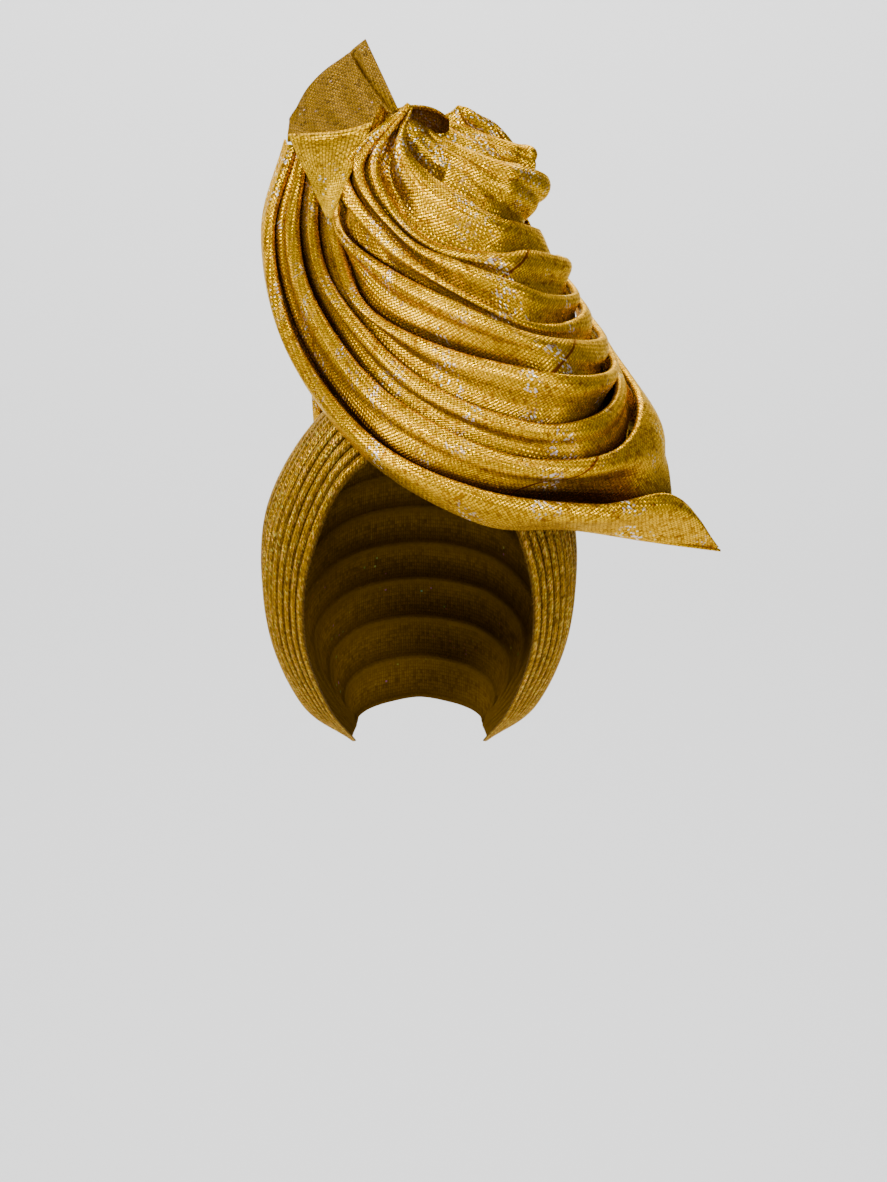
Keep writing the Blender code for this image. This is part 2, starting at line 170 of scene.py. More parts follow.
def spline(points: Grid, shares: Grid) -> Grid:
    """Points on a Catmull-Rom curve through rows of points.

    Args:
        points: rows of coordinates.
        shares: places along the rows, from 0 at the first to 1 at the last.

    Returns:
        One row for each share.
    """
    points = np.asarray(points, float)
    padded = np.vstack([2 * points[:1] - points[1:2], points, 2 * points[-1:] - points[-2:-1]])
    place = np.clip(np.asarray(shares, float), 0, 1) * (len(points) - 1)
    row = np.minimum(place.astype(int), len(points) - 2)
    t = (place - row)[:, None]
    before, start, end, after = (padded[row + k] for k in range(4))
    return 0.5 * (
        2 * start
        + (end - before) * t
        + (2 * before - 5 * start + 4 * end - after) * t**2
        + (3 * start - before - 3 * end + after) * t**3
    )


def unit(vectors: Grid) -> Grid:
    """The same directions with length one."""
    return vectors / np.maximum(np.linalg.norm(vectors, axis=-1, keepdims=True), 1e-9)


def grid_normals(grid: Grid) -> Grid:
    """Unit normals of a grid of points, the cross product of its two directions."""
    return unit(np.cross(np.gradient(grid, axis=0), np.gradient(grid, axis=1)))


def fan_points(rows: Grid, shares: Grid) -> Grid:
    """A curve through rows of (across, back, up) shares of the fan."""
    return spline(np.array(rows) * (FAN_WIDTH, FAN_DEPTH, FAN_HEIGHT), shares)


def as_back(rows: tuple[Point, ...]) -> list[Point]:
    """Rows of (across, up, forward) as (across, back, up)."""
    return [(across, -forward, up) for across, up, forward in rows]


def ramp(places: Grid, begin: float, end: float) -> Grid:
    """A straight rise from 0 at begin to 1 at end, level beyond them; it falls where end is below begin."""
    return np.clip((places - begin) / (end - begin), 0, 1)


def smoothstep(values: Grid) -> Grid:
    """Values from 0 to 1 eased at both ends."""
    return values * values * (3 - 2 * values)


def smooth_noise(shares: Grid, waves: int, seed: int) -> Grid:
    """A sum of sines with random phases, about -1 to 1, of a parameter from 0 to 1.

    Args:
        shares: the parameter.
        waves: the highest number of waves.
        seed: picks the phases.

    Returns:
        The noise at each share.
    """
    draw = np.random.default_rng(seed)
    least, most = 0.4, 1.0
    total = np.zeros_like(shares)
    for k in range(1, waves + 1):
        phase = draw.random()
        weight = draw.uniform(least, most) / waves**0.5
        total = total + np.sin(2 * math.pi * (k * shares + phase)) * weight
    return total


class RimFrame:
    """A rim's line with the ways up, out and down from it, and its fold radius."""

    ORDER = tuple(name for name in RIMS if name != "seat")

    def __init__(self, name: str, shares: Grid) -> None:
        """Works the frame out.

        Args:
            name: the rim's name in RIMS.
            shares: places along it.
        """
        place = 1 if name == "seat" else self.ORDER.index(name)
        self.line = self.curve(name, shares)
        below = self.curve(self.ORDER[place - 1], shares)
        last = place + 1 >= len(self.ORDER)
        above = 2 * self.line - below if last else self.curve(self.ORDER[place + 1], shares)
        along = unit(np.gradient(self.line, axis=0))
        rise = above - below
        self.up = unit(rise - along * np.sum(rise * along, axis=1, keepdims=True))
        self.out = np.cross(along, self.up)
        self.down = unit(below - self.line)
        reach = np.linalg.norm(self.line - below, axis=1, keepdims=True)
        self.radius = np.minimum(FOLD_RADIUS, FOLD_RADIUS_SHARE * reach)

    @staticmethod
    def curve(name: str, shares: Grid) -> Grid:
        """The rim's points."""
        return fan_points(as_back(RIMS[name]), shares)

    def roll(self, end: Grid) -> list[Grid]:
        """Rows that turn the cloth over the rim: a half circle of the fold radius from end to its back."""
        turns = np.linspace(0, math.pi, ROLL + 1)[1:]
        return [
            end - self.out * self.radius * (1 - math.cos(a)) + self.up * self.radius * math.sin(a)
            for a in turns
        ]


def cubic(start: Grid, low_pull: Grid, high_pull: Grid, end: Grid, steps: Grid) -> list[Grid]:
    """Rows of a cubic Bezier from start to end at each step."""
    return [
        (1 - t) ** 3 * start + 3 * (1 - t) ** 2 * t * low_pull + 3 * (1 - t) * t**2 * high_pull + t**3 * end
        for t in steps
    ]


@dataclass(frozen=True)
class Crease:
    """A soft ridge or valley that runs along a fold.

    Its height over the surface is height * exp(-((t - line) / width)**2), where t goes from 0 at the
    fold's lower edge to 1 at its rim and line drifts from low through mid to high.  It fades out
    beyond begin and stop.
    """

    low: float
    mid: float
    high: float
    width: float
    height: float
    begin: float
    stop: float

    def relief(self, s: Grid, t: Grid) -> Grid:
        """Its height over a grid of places.

        Args:
            s: places along the fold, a column.
            t: places across it, a row.

        Returns:
            Heights in metres.
        """
        line = (1 - s) ** 2 * self.low + 2 * (1 - s) * s * self.mid + s**2 * self.high
        begins = ramp(s, self.begin - CREASE_FADE, self.begin + CREASE_FADE)
        stops = ramp(s, self.stop + CREASE_FADE, self.stop - CREASE_FADE)
        return self.height * np.exp(-(((t - line) / self.width) ** 2)) * smoothstep(begins * stops)


class Nodes:
    """Adds shader nodes to a tree and links them."""

    def __init__(self, tree: bpy.types.NodeTree) -> None:
        """Keeps the tree."""
        self.tree = tree

    def add(
        self, kind: str, inputs: dict[str | int, object] | None = None, **settings: object
    ) -> bpy.types.Node:
        """A new node.

        Args:
            kind: its type name.
            inputs: values or sockets for its inputs.
            settings: its properties.

        Returns:
            The node.
        """
        node = self.tree.nodes.new(kind)
        for name, value in settings.items():
            setattr(node, name, value)
        for key, value in (inputs or {}).items():
            if isinstance(value, Socket):
                self.tree.links.new(value, node.inputs[key])
            else:
                node.inputs[key].default_value = value
        return node

    def math(self, operation: str, first: object, second: object = 0.0) -> Socket:
        """The output of a Math node."""
        return self.add("ShaderNodeMath", {0: first, 1: second}, operation=operation).outputs[0]

    def vector(self, x: object, y: object, z: float = 0.0) -> Socket:
        """The output of a Combine XYZ node."""
        return self.add("ShaderNodeCombineXYZ", {0: x, 1: y, 2: z}).outputs[0]

    def noise(self, place: Socket, scale: float, detail: float) -> Socket:
        """The grey output of a Noise node."""
        inputs = {"Vector": place, "Scale": scale, "Detail": detail}
        return self.add("ShaderNodeTexNoise", inputs).outputs["Fac"]

    def blend(self, factor: object, first: object, second: object) -> Socket:
        """The colour output of a Mix node."""
        mixed = {0: factor, 6: first, 7: second}
        return self.add("ShaderNodeMix", mixed, data_type="RGBA", blend_type="MIX").outputs[2]

    def span(
        self, value: object, low: float, high: float, to_low: float = 0.0, to_high: float = 1.0
    ) -> Socket:
        """A value carried smoothly from one range to another."""
        inputs = {"Value": value, "From Min": low, "From Max": high, "To Min": to_low, "To Max": to_high}
        return self.add("ShaderNodeMapRange", inputs, interpolation_type="SMOOTHSTEP").outputs["Result"]


class MetallicWeave:
    """The node group for plain woven cloth with metallic threads, over the UV map in metres.

    In its methods n adds nodes to the group, and u and v are the place counted in warp and in weft
    threads.  A row of streaks is (share of u, share of v, depth in the noise, weight).
    """

    NAME = "metallic_weave"
    INPUTS = {"Weft Pitch": 0.0016, "Warp Pitch": 0.0011, "Fleck Share": 0.06, "Fleck Spread": 0.0}
    BEND_SCALE = 18.0
    BEND_SIZE = 0.0030
    WEFT_CURVE = (0.0, 0.8, 0.55, 1.0)
    WARP_HEIGHT = 0.75
    STREAK_SCALE = 0.9
    STREAK_DETAIL = 3.0
    WEFT_STREAKS = (0.12, 0.8, 0.0, 0.45)
    WARP_STREAKS = (0.9, 0.10, 3.0, 0.25)
    PICK_WEIGHT = 0.3
    SEAM_EDGE = (0.0003, 0.0012)
    SEAM_DEPTH = 0.7
    FLECKS_PER_THREAD = (1.2, 1.8)
    FLECK_DEPTH = 7.0
    PATCH_SCALE = (26.0, 48.0, 1.0)
    PATCH_EDGE = (0.53, 0.68)

    @classmethod
    def group(cls) -> bpy.types.NodeTree:
        """The node group, built once.

        Relief is the height of crossed threads.  Tone is how bright a thread's stretch is, with a dark
        seam where X is 0.  Fleck is 1 where a shiny thread catches the light, and Hue varies with it.
        """
        tree = bpy.data.node_groups.get(cls.NAME)
        if tree:
            return tree
        tree = bpy.data.node_groups.new(cls.NAME, "ShaderNodeTree")
        face = tree.interface
        face.new_socket(name="Vector", in_out="INPUT", socket_type="NodeSocketVector")
        for name, value in cls.INPUTS.items():
            socket = face.new_socket(name=name, in_out="INPUT", socket_type="NodeSocketFloat")
            socket.default_value = value
        for name in ("Relief", "Tone", "Fleck", "Hue"):
            face.new_socket(name=name, in_out="OUTPUT", socket_type="NodeSocketFloat")
        n = Nodes(tree)
        source = n.add("NodeGroupInput").outputs
        split = n.add("ShaderNodeSeparateXYZ", {0: source["Vector"]}).outputs
        bend = n.math("SUBTRACT", n.noise(source["Vector"], cls.BEND_SCALE, 1.0), 0.5)
        shift = n.math("MULTIPLY", bend, cls.BEND_SIZE)
        u = n.math("DIVIDE", n.math("ADD", split["X"], shift), source["Warp Pitch"])
        v = n.math("DIVIDE", n.math("ADD", split["Y"], shift), source["Weft Pitch"])
        fleck, hue = cls.flecks(n, source, u, v)
        relief, tone = cls.relief(n, u, v), cls.tone(n, split["X"], u, v)
        n.add("NodeGroupOutput", {"Relief": relief, "Tone": tone, "Fleck": fleck, "Hue": hue})
        return tree

    @classmethod
    def relief(cls, n: Nodes, u: Socket, v: Socket) -> Socket:
        """The height, from 0 to 1, of threads that cross over and under one another."""
        warp = n.math("ABSOLUTE", n.math("SINE", n.math("MULTIPLY", u, math.pi)))
        weft = n.math("ABSOLUTE", n.math("SINE", n.math("MULTIPLY", v, math.pi)))
        parity = n.math("PINGPONG", n.math("ADD", n.math("FLOOR", u), n.math("FLOOR", v)), 1.0)
        over = n.math("MULTIPLY", weft, n.span(warp, *cls.WEFT_CURVE))
        under = n.math("MULTIPLY", warp, cls.WARP_HEIGHT)
        weft_on_top = n.math("MULTIPLY", over, n.math("SUBTRACT", 1.0, parity))
        return n.math("ADD", weft_on_top, n.math("MULTIPLY", under, parity))

    @classmethod
    def tone(cls, n: Nodes, across: Socket, u: Socket, v: Socket) -> Socket:
        """How bright each stretch of thread is, from 0 to 1, with a dark seam where across is 0."""
        cell = n.vector(n.math("FLOOR", u), n.math("FLOOR", v))
        pick = n.add("ShaderNodeTexWhiteNoise", {"Vector": cell}, noise_dimensions="2D").outputs["Value"]
        tone = n.math("MULTIPLY", pick, cls.PICK_WEIGHT)
        for along_u, along_v, depth, weight in (cls.WEFT_STREAKS, cls.WARP_STREAKS):
            place = n.vector(n.math("MULTIPLY", u, along_u), n.math("MULTIPLY", v, along_v), depth)
            streak = n.noise(place, cls.STREAK_SCALE, cls.STREAK_DETAIL)
            tone = n.math("ADD", tone, n.math("MULTIPLY", streak, weight))
        seam = n.span(n.math("ABSOLUTE", across), *cls.SEAM_EDGE, 1.0, 0.0)
        return n.math("MULTIPLY", tone, n.math("SUBTRACT", 1.0, n.math("MULTIPLY", seam, cls.SEAM_DEPTH)))

    @classmethod
    def flecks(cls, n: Nodes, source: bpy.types.NodeOutputs, u: Socket, v: Socket) -> tuple[Socket, Socket]:
        """Where the shiny flecks are, in loose patches, and a value that varies their hue."""
        cells = [
            n.math("FLOOR", n.math("MULTIPLY", place, count))
            for place, count in zip((u, v), cls.FLECKS_PER_THREAD)
        ]
        cell = n.vector(*cells, cls.FLECK_DEPTH)
        draw = n.add("ShaderNodeTexWhiteNoise", {"Vector": cell}, noise_dimensions="3D").outputs
        fleck = n.math("GREATER_THAN", draw["Value"], n.math("SUBTRACT", 1.0, source["Fleck Share"]))
        stretch = {"Vector": source["Vector"], "Scale": cls.PATCH_SCALE}
        stretched = n.add("ShaderNodeMapping", stretch).outputs[0]
        patch = n.span(n.noise(stretched, 1.0, 1.0), *cls.PATCH_EDGE)
        fleck = n.math("MULTIPLY", fleck, n.math("MAXIMUM", patch, source["Fleck Spread"]))
        return fleck, n.add("ShaderNodeSeparateColor", {0: draw["Color"]}).outputs[1]


@dataclass(frozen=True)
class GoldCloth:
    """The finish of one cloth: its tones, gloss and thread sizes.

    The fleck spread is how strong the flecks are between their patches, and the hue spread is how far
    their hue wanders.
    """

    name: str
    bright: Colour
    deep: Colour
    fleck: Colour
    metallic: float
    roughness: float
    weft_pitch: float
    warp_pitch: float
    fleck_share: float
    relief: float
    # The dark colour that painted shade mixes toward
    painted_shade_colour: Colour = (0.050, 0.012, 0.0, 1)
    fleck_spread: float = 0.0
    hue_spread: float = 0.3

    TONE_RANGE = (0.18, 0.60)
    THREAD_SHADE = (0.05, 0.75, 0.85, 0.0)
    FLECK_STRENGTH = 0.75
    # How far full painted shade goes toward that colour
    PAINTED_SHADE_STRENGTH = 0.93
    GLOSS_RANGE = (0.2, 0.8)
    GLOSS_SPREAD = 0.08
    SPECULAR_LEVEL = 0.3
    SPECULAR_TINT = (1.0, 0.76, 0.06, 1)
    THREAD_HEIGHT = 0.00025

    def material(self) -> bpy.types.Material:
        """The material, built once."""
        made = bpy.data.materials.get(self.name)
        if made:
            return made
        made = bpy.data.materials.new(self.name)
        made.use_nodes = True
        tree = made.node_tree
        n = Nodes(tree)
        shader = tree.nodes["Principled BSDF"]
        threads = {
            "Vector": n.add("ShaderNodeUVMap", uv_map="threads").outputs[0],
            "Weft Pitch": self.weft_pitch,
            "Warp Pitch": self.warp_pitch,
            "Fleck Share": self.fleck_share,
            "Fleck Spread": self.fleck_spread,
        }
        weave = n.add("ShaderNodeGroup", threads, node_tree=MetallicWeave.group()).outputs
        colour = n.blend(n.span(weave["Tone"], *self.TONE_RANGE), self.deep, self.bright)
        colour = n.blend(n.span(weave["Relief"], *self.THREAD_SHADE), colour, self.deep)
        hue = n.span(weave["Hue"], 0.0, 1.0, 0.5 - self.hue_spread, 0.5 + self.hue_spread)
        tint = n.add("ShaderNodeHueSaturation", {"Hue": hue, "Color": self.fleck}).outputs[0]
        colour = n.blend(n.math("MULTIPLY", weave["Fleck"], self.FLECK_STRENGTH), colour, tint)
        # Painted shade: a point attribute darkens the colour in creases, rib valleys and between folds, where
        # shade falls
        painted_shade = n.add("ShaderNodeAttribute", attribute_name="painted_shade").outputs["Fac"]
        colour = n.blend(painted_shade, colour, n.blend(self.PAINTED_SHADE_STRENGTH, colour, self.painted_shade_colour))
        rough, smooth = self.roughness + self.GLOSS_SPREAD, self.roughness - self.GLOSS_SPREAD
        bump = n.add(
            "ShaderNodeBump",
            {"Strength": self.relief, "Distance": self.THREAD_HEIGHT, "Height": weave["Relief"]},
        )
        tree.links.new(colour, shader.inputs["Base Color"])
        tree.links.new(n.span(weave["Tone"], *self.GLOSS_RANGE, rough, smooth), shader.inputs["Roughness"])
        tree.links.new(bump.outputs[0], shader.inputs["Normal"])
        shader.inputs["Metallic"].default_value = self.metallic
        shader.inputs["Specular IOR Level"].default_value = self.SPECULAR_LEVEL
        shader.inputs["Specular Tint"].default_value = self.SPECULAR_TINT
        return made


FAN_CLOTH = GoldCloth(
    name="gold_fan_cloth",
    bright=(0.82, 0.465, 0.0, 1),
    deep=(0.14, 0.032, 0.0, 1),
    fleck=(0.95, 0.90, 0.82, 1),
    metallic=0.88,
    roughness=0.30,
    weft_pitch=0.0018,
    warp_pitch=0.0017,
    fleck_share=0.16,
    relief=0.8,
)
# A darker copy of the fan cloth, with fewer flecks, for the flap: painted shade
FLAP_CLOTH = GoldCloth(
    name="gold_fan_cloth_flap",
    bright=(0.80, 0.46, 0.0, 1),
    deep=(0.10, 0.034, 0.0, 1),
    fleck=(0.90, 0.86, 0.80, 1),
    metallic=0.82,
    roughness=0.38,
    weft_pitch=0.0017,
    warp_pitch=0.0016,
    fleck_share=0.04,
    relief=1.0,
)
# A much darker copy of the fan cloth for the standing end behind the flap: painted shade
CREST_SHADE_CLOTH = GoldCloth(
    name="gold_fan_cloth_crest_shade",
    bright=(0.32, 0.16, 0.0, 1),
    deep=(0.025, 0.009, 0.0, 1),
    fleck=(0.75, 0.66, 0.50, 1),
    metallic=0.7,
    roughness=0.45,
    weft_pitch=0.0017,
    warp_pitch=0.0016,
    fleck_share=0.02,
    relief=1.0,
)
WRAP_CLOTH = GoldCloth(
    name="gold_wrap_cloth",
    bright=(0.50, 0.25, 0.0, 1),
    deep=(0.040, 0.013, 0.0, 1),
    fleck=(1.0, 0.66, 0.14, 1),
    metallic=0.70,
    roughness=0.30,
    weft_pitch=0.0014,
    warp_pitch=0.0014,
    fleck_share=0.20,
    relief=1.0,
    painted_shade_colour=(0.030, 0.009, 0.0, 1),
    fleck_spread=0.5,
    hue_spread=0.04,
)
# A darker copy of the wrap cloth for its inside: painted shade
WRAP_INSIDE_SHADE = GoldCloth(
    name="gold_wrap_inside_shade",
    bright=(0.16, 0.075, 0.0, 1),
    deep=(0.05, 0.018, 0.0, 1),
    fleck=(0.4, 0.3, 0.12, 1),
    metallic=0.3,
    roughness=0.6,
    weft_pitch=0.0014,
    warp_pitch=0.0014,
    fleck_share=0.02,
    relief=0.6,
    painted_shade_colour=(0.10, 0.045, 0.0, 1),
)


@dataclass(frozen=True)
class Declared:
    """What is said of one piece of cloth: the node it stands for, its cut and how it is held."""

    node: str
    slot: str
    flat: tuple[float, float]
    held: Hold
    rests_on: tuple[str, ...]


def grid_mesh(name: str, grid: Grid) -> bpy.types.Mesh:
    """A smooth mesh through a grid of points."""
    rows, columns = grid.shape[:2]
    index = np.arange(rows * columns).reshape(rows, columns)
    corners = (index[:-1, :-1], index[1:, :-1], index[1:, 1:], index[:-1, 1:])
    mesh = bpy.data.meshes.new(name)
    mesh.from_pydata(grid.reshape(-1, 3).tolist(), [], np.stack(corners, axis=-1).reshape(-1, 4).tolist())
    mesh.shade_smooth()
    return mesh


def thread_map(grid: Grid, slant: float, seam: float | None) -> Grid:
    """Places on the cloth in metres, one row a point: running lengths both ways, turned by the slant."""
    rows, columns = grid.shape[:2]
    steps_u = np.linalg.norm(np.diff(grid, axis=0), axis=-1).mean(axis=1)
    steps_v = np.linalg.norm(np.diff(grid, axis=1), axis=-1)
    u = np.concatenate([[0], np.cumsum(steps_u)])[:, None] + np.zeros((1, columns))
    v = np.concatenate([np.zeros((rows, 1)), np.cumsum(steps_v, axis=1)], axis=1)
    u = u - u[round((seam or 0.0) * (rows - 1)), 0]
    v = v - v[:, columns // 2][:, None]
    aside = SEAMLESS if seam is None else 0.0
    turned = (math.cos(slant) * u + math.sin(slant) * v + aside, math.cos(slant) * v - math.sin(slant) * u)
    return np.stack(turned, axis=-1).reshape(-1, 2)


def cloth_piece(
    name: str,
    grid: Grid,
    finish: GoldCloth,
    facts: Declared,
    wall: float = CLOTH,
    painted_shade: Grid | None = None,
    slant: float = 0.0,
    lining: GoldCloth | None = None,
    seam: float | None = None,
) -> bpy.types.Object:
    """A sheet of cloth through a grid of points, with its wall and its thread map.

    Args:
        name: the piece's name.
        grid: points, rows along the folds and columns across them.
        finish: its cloth.
        facts: what is declared of it.
        wall: its thickness.
        painted_shade: how much painted shade each point gets between folds and in valleys, from 0 to 1.
        slant: how far the threads turn from the grid's rows, in radians.
        lining: the finish of the inner side, if it has its own.
        seam: where along the rows a stitched seam crosses the middle, from 0 to 1, if it has one.

    Returns:
        The piece.
    """
    mesh = grid_mesh(name, grid)
    # Painted shade, stored per point for the material to darken the colour
    depth = mesh.attributes.new("painted_shade", "FLOAT", "POINT")
    deep = np.broadcast_to(0.0 if painted_shade is None else painted_shade, grid.shape[:2])
    depth.data.foreach_set("value", np.ascontiguousarray(deep, np.float32).ravel())
    layer = mesh.uv_layers.new(name="threads")
    loops = np.zeros(len(mesh.loops), np.int32)
    mesh.loops.foreach_get("vertex_index", loops)
    layer.data.foreach_set("uv", thread_map(grid, slant, seam)[loops].ravel())
    mesh.materials.append(finish.material())
    piece = bpy.data.objects.new(name, mesh)
    bpy.context.scene.collection.objects.link(piece)
    solid = piece.modifiers.new("wall", "SOLIDIFY")
    solid.thickness = wall
    solid.offset = 0.0
    if lining:
        mesh.materials.append(lining.material())
        solid.material_offset = 1
    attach(piece, "root")
    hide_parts(facts.node)
    LOG.info("%s: %d by %d points", name, *grid.shape[:2])
    return piece


@dataclass(frozen=True)
class CowlFold:
    """One cowl fold: a hidden tuck, a swelling belly and a rolled rim.

    Its pockets are how far it starts behind the rim below at either end, as shares of its span.  Its
    ease is how many clearances it keeps from that rim.  Its seam is where a stitched seam crosses it.
    """

    name: str
    lower: str
    upper: str
    rests_on: str
    flat: tuple[float, float]
    swell: float
    left_pocket: float
    right_pocket: float
    ease: float
    creases: tuple[Crease, ...] = ()
    seam: float | None = None

    DROP_AT_PINCH = 0.55
    PULL_AT_PINCH = 0.028
    PULL_RISE = 0.05
    LOW_PULL = 0.3
    HIGH_PULL = 0.35
    LONGER_TUCK = 1.6
    # Painted shade: its widths along the rim below, its strengths over the belly, and how it grows with
    # crease depth in valleys
    EDGE_SHADE = (0.05, 0.12)
    BELLY_SHADE = (0.06, 0.26)
    VALLEY_DEPTH = 0.008
    VALLEY_FROM = 0.38
    VALLEY_MOST = 0.9

    # Where each ramp begins and where it is whole, along the fold or, for the last two, across it
    LEFT_END = (1 / 3, 0)
    RIGHT_END = (2 / 3, 1)
    GAP_ENDS = ((0, 0.4), (1, 0.75))
    DROP_RAMP = (0, 0.4)
    PULL_RAMP = (0, 0.2)
    LONGER_ENDS = ((0.75, 0.85), (1, 0.88))
    SHADE_RAMP = (0, 0.45)
    EDGE_RAMP = (-0.25, 0.25)
    BELLY_RAMP = (-0.1, 0.4)
    BELLY_FALL = (2 / 3, 0)
    CREASE_ENDS = ((0, 0.25), (1.02, 0.90))

    @staticmethod
    def places_across() -> Grid:
        """Where each column lies: 0 over the tuck, up to 1 at the rim, and 1 over the roll."""
        return np.concatenate([np.zeros(TUCK_ROWS - 1), np.linspace(0, 1, BELLY), np.ones(ROLL)])[None, :]

    def start(self, s: Grid, low: RimFrame, span: Grid) -> Grid:
        """The line behind the rim below where the belly begins."""
        pockets = self.left_pocket * ramp(s, *self.LEFT_END) + self.right_pocket * ramp(s, *self.RIGHT_END)
        gap = GAP * np.minimum(*(ramp(s, *places) for places in self.GAP_ENDS))[:, None]
        share = self.DROP_AT_PINCH + (1 - self.DROP_AT_PINCH) * ramp(s, *self.DROP_RAMP)[:, None]
        drop = (2 * low.radius + LAYER_WALL) * share + gap + self.ease * CLEARANCE
        return low.line - low.out * (drop + pockets[:, None] * span)

    def surface(self) -> Grid:
        """The fold's grid.

        Each cross-section goes from the tuck to a start behind the rim below, follows a cubic that
        swells out and ends under its own rim, and turns half round over it.  Creases are added along
        the normals.
        """
        s = np.linspace(0, 1, ALONG + 1)
        low, high = RimFrame(self.lower, s), RimFrame(self.upper, s)
        span = np.linalg.norm(high.line - low.line, axis=1, keepdims=True)
        start = self.start(s, low, span)
        end = high.line - high.up * high.radius
        pull = np.minimum(span, self.PULL_AT_PINCH + self.PULL_RISE * ramp(s, *self.PULL_RAMP)[:, None])
        swell = unit(low.out + high.out) * self.swell * pull * (np.sin(math.pi * s) ** 0.5)[:, None]
        from_left, from_right = (ramp(s, *places) for places in self.LONGER_ENDS)
        longer = 1 + self.LONGER_TUCK * (from_left * from_right)[:, None]
        tuck = start + (low.down - low.out * TUCK_SLANT) * (TUCK * low.radius * longer)
        low_pull = start + low.up * pull * self.LOW_PULL
        high_pull = end - high.up * pull * self.HIGH_PULL + swell
        rows = [tuck + (start - tuck) * t for t in np.linspace(0, 1, TUCK_ROWS)[:-1]]
        rows += cubic(start, low_pull, high_pull, end, np.linspace(0, 1, BELLY))
        rows += high.roll(end)
        grid = np.stack(rows, axis=1)
        return grid + grid_normals(grid) * self.relief(s)[:, :, None]

    def relief(self, s: Grid) -> Grid:
        """The height of the creases over the grid, faded out at the tuck and the roll."""
        t = self.places_across()
        total = np.zeros((len(s), t.shape[1]))
        for crease in self.creases:
            total += crease.relief(s[:, None], t)
        from_tuck, from_roll = (ramp(t, *places) for places in self.CREASE_ENDS)
        return total * smoothstep(from_tuck * from_roll)

    def painted_shade(self) -> Grid:
        """How much painted shade each point gets: dark along the rim below, shaded above it and dark in deep
        creases, where shade falls.
        """
        t = self.places_across()
        s = np.linspace(0, 1, ALONG + 1)
        middle = ramp(s, *self.SHADE_RAMP)[:, None]
        edge_width, edge_rise = self.EDGE_SHADE
        belly_shade, belly_rise = self.BELLY_SHADE
        edge = np.exp(-((t / (edge_width + edge_rise * middle)) ** 2)) * ramp(s, *self.EDGE_RAMP)[:, None]
        belly = (belly_shade + belly_rise * middle) * ramp(t, *self.BELLY_FALL)
        belly = belly * ramp(s, *self.BELLY_RAMP)[:, None]
        valley = np.clip(-self.relief(s) / self.VALLEY_DEPTH - self.VALLEY_FROM, 0, self.VALLEY_MOST)
        return np.clip(edge + belly + valley, 0, 1)

    def build(self) -> bpy.types.Object:
        """The finished fold."""
        facts = Declared(self.name, "fan_cloth", self.flat, Hold.FOLDED, (self.rests_on,))
        return cloth_piece(
            f"{self.name}_cloth",
            self.surface(),
            FAN_CLOTH,
            facts,
            painted_shade=self.painted_shade(),
            slant=BIAS,
            seam=self.seam,
        )


